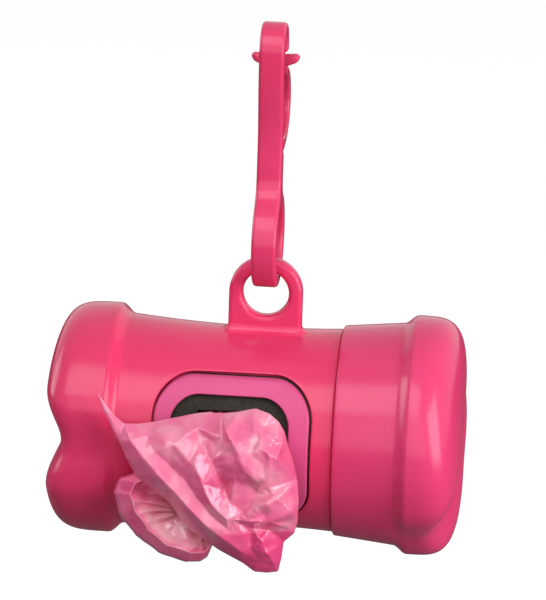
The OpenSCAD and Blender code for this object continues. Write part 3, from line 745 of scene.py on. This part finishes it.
bag_folds = [
    (-19.8, 5.3, 7.0), (-17.5, 5.6, 7.6), (-14.7, 6.9, 6.2), (-14.3, 4.7, 8.8),
    (-9.2, 5.0, 7.8), (-11.2, 2.0, 9.6), (-9.8, 7.7, 6.4), (-5.1, 6.6, 8.2),
    (-4.1, 8.6, 9.4), (-2.6, 6.3, 10.4), (-1.0, 3.0, 10.8), (0.6, -0.9, 10.4),
    (2.0, -4.1, 8.6), (1.3, 7.2, 8.8), (2.6, 8.8, 7.4), (2.6, 5.8, 10.2), (4.3, 5.6, 9.2),
    (5.7, 7.2, 8.0), (6.8, 5.9, 7.4), (6.0, 3.7, 10.2), (3.9, -0.6, 10.6), (7.7, 1.2, 8.2),
    (4.6, -2.7, 9.0), (6.2, -4.6, 9.8), (9.2, -7.8, 8.0), (2.6, -6.4, 10.0),
    (-0.5, -8.1, 9.0), (-2.2, -9.5, 9.8), (-2.7, -6.1, 9.6), (-4.2, -3.8, 8.4),
    (-2.1, -0.7, 10.2), (-5.5, -0.4, 9.6), (-6.7, 1.7, 9.0), (-9.9, 1.6, 10.4),
    (-8.3, -2.2, 10.6), (-6.3, -6.3, 10.8), (-3.3, -9.1, 10.6), (-5.1, -3.6, 9.2),
    (1.2, -9.5, 10.2), (4.9, -9.6, 9.4), (1.4, -11.6, 8.2), (4.7, -12.3, 7.2),
    (8.4, -11.9, 6.0), (3.4, -13.8, 8.8), (4.6, -16.6, 8.6), (5.9, -19.1, 6.8),
    (1.2, -15.7, 8.4), (-0.7, -13.2, 9.2), (2.7, -18.6, 7.6), (-23.1, 4.4, 7.4),
    (-20.2, 1.6, 9.0), (-17.0, -1.4, 9.8), (-13.9, -4.2, 10.2), (-10.8, -7.5, 10.4),
    (-7.3, -10.8, 10.4), (-3.9, -13.5, 10.0), (-0.6, -16.3, 8.8), (-18.0, 2.8, 8.6),
    (-15.0, 0.3, 8.8), (-11.8, -2.0, 9.4), (-9.1, -5.7, 9.6), (-6.3, -9.0, 9.8),
    (-3.3, -11.4, 9.6)]
bag_rear = [
    (-20.0, 2.5, 3.6), (-16.0, 3.0, 2.4), (-10.0, 6.0, 1.0), (-4.0, 6.5, 0.8),
    (2.0, 7.5, 1.2), (5.0, 3.0, 1.6), (-10.0, -1.0, 1.4), (-3.0, 0.0, 1.0),
    (4.0, -4.0, 1.8), (-8.0, -8.0, 2.4), (0.0, -10.0, 2.2), (3.0, -16.0, 3.4),
    (-14.0, -5.0, 2.8)]

# The corners that each crease runs through, by their place in bag_folds. A number written
# as n - rim_count is point n of the rim.
rim_count = len(bag_rim)
creases = [[9 - rim_count, 8, 9, 10, 11, 12], [12, 20, 19, 18], [12, 22, 21], [12, 25, 38],
           [27, 38, 39, 19 - rim_count], [33, 34, 35, 36], list(range(49, 57)),
           list(range(57, 63)), [40, 43, 44, 45, 23 - rim_count]]


def folded(corners, creases):
    """Flat facets between the rim and the corners of the folds, that keep the creases."""
    points = np.array(bag_rim + corners)
    edges = [(i, (i + 1) % rim_count) for i in range(rim_count)]
    edges += [(a + rim_count, b + rim_count) for line in creases
              for a, b in zip(line[:-1], line[1:])]
    found = geometry.delaunay_2d_cdt([Vector(p[:2]) for p in points], edges, [], 1, 1e-5)
    from_corner = [old[0] for old in found[3]]
    return points[from_corner], np.array(found[2])


def finer(points, triangles):
    """Every triangle cut in four at the middles of its edges."""
    sides = np.sort(np.concatenate([triangles[:, [0, 1]], triangles[:, [1, 2]],
                                    triangles[:, [2, 0]]]), axis=1)
    edges, which = np.unique(sides, axis=0, return_inverse=True)
    ab, bc, ca = len(points) + which.reshape(3, -1)
    a, b, c = triangles.T
    return (np.concatenate([points, points[edges].mean(axis=1)]),
            np.concatenate([np.stack(t, axis=-1) for t in
                            ((a, ab, ca), (ab, b, bc), (ca, bc, c), (ab, bc, ca))]))


def relaxed(points, triangles, times):
    """Each point drawn to the mean of its neighbours. Rim points follow the rim only, twice,
    so that sheets that share a rim still meet."""
    sides = np.sort(np.concatenate([triangles[:, [0, 1]], triangles[:, [1, 2]],
                                    triangles[:, [2, 0]]]), axis=1)
    edges, uses = np.unique(sides, axis=0, return_counts=True)
    on_rim = np.zeros(len(points), bool)
    on_rim[edges[uses == 1]] = True
    both = np.concatenate([edges, edges[:, ::-1]])
    used = np.concatenate([uses, uses])
    both = both[(used == 1) | ~on_rim[both[:, 0]]]
    number = np.bincount(both[:, 0], minlength=len(points))[:, None]
    for count in range(times):
        total = np.stack([np.bincount(both[:, 0], points[both[:, 1], i], len(points))
                          for i in range(3)], axis=-1)
        held = (on_rim & (count >= 2))[:, None]
        points = np.where(held, points, 0.4 * points + 0.6 * total / number)
    return points, on_rim


dice = np.random.default_rng(7)
waves = [(length, dice.uniform(0, np.pi), dice.uniform(0, 2 * np.pi), dice.uniform(0, 9, 2))
         for length in (9.5, 7.3, 5.9, 4.3, 3.1)]


def crumple(x, z):
    """Sharp-edged ripples: the size of sines along set directions, each bent by a slow one."""
    total = 0 * x
    for length, way, phase, bent in waves:
        run = (x * math.cos(way) + z * math.sin(way)) * np.pi / length
        run = run + 0.9 * np.sin(x * 0.33 + bent[0]) + 0.9 * np.sin(z * 0.29 + bent[1]) + phase
        total = total + 0.05 * length * (np.abs(np.sin(run)) - 0.6)
    return total


def rim_away(points, first=0, last=None):
    """How far points of the body lie from its rim, or from a part of the rim."""
    x, z = points[:, 0], points[:, 1]
    away = np.full(len(x), 99.0)
    for a, b in list(zip(bag_rim, bag_rim[1:] + bag_rim[:1]))[first:last]:
        share = np.clip(((x - a[0]) * (b[0] - a[0]) + (z - a[1]) * (b[1] - a[1]))
                        / math.dist(a[:2], b[:2]) ** 2, 0, 1)
        away = np.minimum(away, np.hypot(x - a[0] - share * (b[0] - a[0]),
                                         z - a[1] - share * (b[1] - a[1])))
    return away


def freedom(points):
    """How far a point of the body may crumple: less on the smooth band, none on the rim."""
    smooth_band = np.exp(-((points[:, 0] + points[:, 1] * 0.9 + 17.5) / 5.5) ** 2)
    return (1 - 0.85 * smooth_band) * np.clip(rim_away(points) / 2.5, 0, 1)


# The body's front and rear sheets. Folds that stand out past the rim are deepened about a
# middle height. Every facet is then cut in four, four times over, and the front's new points
# are dented in or out at random on the way.
rim_top, fold_middle, fold_gain = 6.9, 8.8, 1.35
bag_parts = []
for front in (True, False):
    points, facets = folded(bag_folds if front else bag_rear, creases if front else ())
    if front:
        high = points[:, 2] > rim_top
        points[high, 2] = fold_middle + fold_gain * (points[high, 2] - fold_middle)
    for dent in (0.38, 0.13, 0, 0):
        old = len(points)
        points, facets = finer(points, facets)
        if front:
            points[old:, 2] += dent * dice.uniform(-1, 1, len(points) - old) \
                * freedom(points[old:])
    points, on_rim = relaxed(points, facets, 2 if front else 40)
    puffed = np.sqrt(np.clip(rim_away(points) / 1.2, 0, 1))
    apart = (0.5 * crumple(points[:, 0], points[:, 1]) * freedom(points) + 0.45 * puffed
             if front else -0.6 * puffed)
    outwards = points[:, 2] + np.where(on_rim, 0, apart)

    # The flap below the fold line lies in more layers, and the hem of the lower rim in fewer.
    below_fold = np.clip((-12.4 - points[:, 1] + 0.25 * crumple(points[:, 1], points[:, 0]))
                         / 0.5, 0, 1) * np.clip(points[:, 0] / 2 + 3, 0, 1)
    hem = np.clip(1.2 - rim_away(points, 24, 32) / 0.35, 0, 1)
    bag_parts.append((np.stack([points[:, 0], -bag_face - outwards, axis_z + points[:, 1]],
                               axis=-1), facets, (0.5 + 0.45 * below_fold) * (1 - 0.8 * hem)))

# The loop of the bag's open end: ellipses from behind it, round its belly to the lip, and
# down inside, each as middle, half sizes and distance out from the bezel's face.
loop_rings = np.array([(-13.8, -12.0, 0.4, 0.2, 1.2), (-13.8, -12.0, 6.4, 3.6, 1.1),
                       (-15.5, -12.4, 10.0, 5.6, 2.0), (-16.6, -12.3, 11.5, 6.4, 3.8),
                       (-16.2, -11.8, 11.1, 6.1, 5.2), (-14.9, -11.1, 9.9, 5.4, 6.4),
                       (-14.7, -10.9, 9.5, 5.1, 6.7), (-14.6, -10.9, 9.2, 4.9, 6.3),
                       (-14.3, -10.9, 8.7, 4.6, 5.2), (-13.8, -11.0, 7.6, 4.0, 4.0),
                       (-12.8, -11.0, 5.0, 2.7, 3.0), (-12.6, -11.0, 0.3, 0.1, 2.6)])
lip_ring = 6
at = np.linspace(0, len(loop_rings) - 1, 111)
ring_at = np.stack([np.interp(at, np.arange(len(loop_rings)), column)
                    for column in loop_rings.T], axis=-1)
loop_turn = np.linspace(0, 2 * np.pi, 240, endpoint=False)

# The film is creased at these angles, so each ring is straight between them. Past the lip,
# inside the loop, it is pleated and lies in fewer layers, and the lip itself is painted
# palest as a painted highlight along its edge.
bends = np.radians([0, 22, 50, 88, 120, 150, 176, 205, 232, 262, 290, 322, 345, 360])
lean = math.radians(-39.3)
wide = ring_at[:, 2:3] * np.interp(loop_turn, bends, 1.02 * np.cos(bends))
tall = ring_at[:, 3:4] * np.interp(loop_turn, bends, 1.02 * np.sin(bends))
x = ring_at[:, :1] + wide * math.cos(lean) - tall * math.sin(lean)
z = ring_at[:, 1:2] + wide * math.sin(lean) + tall * math.cos(lean)
inside_share = np.clip((at[:, None] - lip_ring - 0.3) / 1.5, 0, 1)
pleats = np.abs((loop_turn / (2 * np.pi) * 11 + 0.6 * np.sin(loop_turn * 3)) % 1 - 0.5) - 0.25
ripple = crumple(x, z)
outwards = ring_at[:, 4:5] + ripple * (0.3 + 0.9 * inside_share) + 3.2 * pleats * inside_share
loop = np.stack([x + 0.4 * ripple, -bag_face - np.maximum(outwards, 0.6),
                 axis_z + z + 0.4 * ripple], axis=-1)
loop_layers_and_lip_highlight = (0.7 - 0.3 * np.clip((5.6 - at[:, None]) / 9, 0, 1) - 0.62 * inside_share
               + 0.25 * np.clip(-np.cos(loop_turn), 0, 1) * inside_share)
# The band at the lip is set palest: a painted highlight along the lip's edge.
loop_layers_and_lip_highlight = np.where(np.abs(at[:, None] - lip_ring) < 0.3, 0.15, loop_layers_and_lip_highlight) + 0 * x
loop_parts = [(loop, grid_faces(*loop.shape[:2]), loop_layers_and_lip_highlight.ravel())]
loop_parts += [(loop[i], [list(range(len(loop_turn)))], loop_layers_and_lip_highlight[i]) for i in (0, -1)]

# The tail: a pleated strip of film, thin enough for the slit, from the roll to the body.
tail_width, tail_steps, pleat_count, pleat_rise, film_half = 10.0, 60, 5, 0.26, 0.05
tail_y = np.linspace(-0.6, -bag_face - 3.2, 60)[:, None]
tail_u = np.linspace(0, 1, tail_steps + 1)
tail_u = np.concatenate([tail_u, tail_u[::-1]])
tail_x = (tail_u - 0.5) * tail_width
pleat = pleat_rise * np.sin(tail_u * 2 * np.pi * pleat_count)
pleat = pleat + np.repeat([film_half, -film_half], tail_steps + 1)
tail = np.stack(np.broadcast_arrays(window_x + tail_x, tail_y, axis_z + slit_z + pleat), axis=-1)
tail_parts = [(tail, grid_faces(*tail.shape[:2]))]
tail_last = 2 * tail_steps + 1
tail_ends = [[i, i + 1, tail_last - 1 - i, tail_last - i] for i in range(tail_steps)]
tail_parts += [(tail[end], tail_ends) for end in (0, -1)]

leading_film = make_piece("leading_film", bag_parts + loop_parts + tail_parts,
                          "bag", "leading_bag", sharp=50, weld=8e-6)


def thin_film(name, palest_tint, colour, deep, gloss):
    """Coloured film: nearly white where one layer lies alone and along a painted highlight,
    deeper where there are more layers, in clouds as well, with fine crinkles as bump and a
    little light through it."""
    look, tree, shader, where = new_look(name, {
        "Roughness": gloss, "Specular IOR Level": 0.5, "Coat Weight": 0.45,
        "Coat Roughness": 0.14, "Subsurface Weight": 0.12,
        "Subsurface Radius": (1.0, 0.35, 0.5), "Subsurface Scale": 0.001})
    layers_and_highlight = add_node(tree, "Attribute", attribute_name="film_layers_and_highlight")
    clouds = add_node(tree, "TexNoise", {"Scale": 170, "Detail": 3})
    spread = add_node(tree, "MapRange", {"From Min": 0.35, "From Max": 0.65,
                                         "To Min": -0.18, "To Max": 0.22})
    total = add_node(tree, "Math", operation="ADD", use_clamp=True)
    tint = add_node(tree, "ValToRGB")
    tint.color_ramp.elements[0].color = (*palest_tint, 1)
    tint.color_ramp.elements[1].color = (*deep, 1)
    tint.color_ramp.elements.new(0.5).color = (*colour, 1)
    crinkle = add_node(tree, "TexNoise", {"Scale": 170, "Detail": 2},
                       noise_type="RIDGED_MULTIFRACTAL")
    bump = add_node(tree, "Bump", {"Strength": 0.15, "Distance": 0.0003})
    tree.links.new(where, clouds.inputs["Vector"])
    tree.links.new(where, crinkle.inputs["Vector"])
    tree.links.new(clouds.outputs["Fac"], spread.inputs["Value"])
    tree.links.new(layers_and_highlight.outputs["Fac"], total.inputs[0])
    tree.links.new(spread.outputs[0], total.inputs[1])
    tree.links.new(total.outputs[0], tint.inputs["Fac"])
    tree.links.new(tint.outputs["Color"], shader.inputs["Base Color"])
    tree.links.new(crinkle.outputs["Fac"], bump.inputs["Height"])
    tree.links.new(bump.outputs[0], shader.inputs["Normal"])
    return look


leading_film.data.materials.append(thin_film(
    "pink_film", (0.90, 0.45, 0.52), (0.86, 0.16, 0.32), (0.76, 0.055, 0.210), 0.24))

# The box round the pieces, and the end of the script.
low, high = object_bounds()
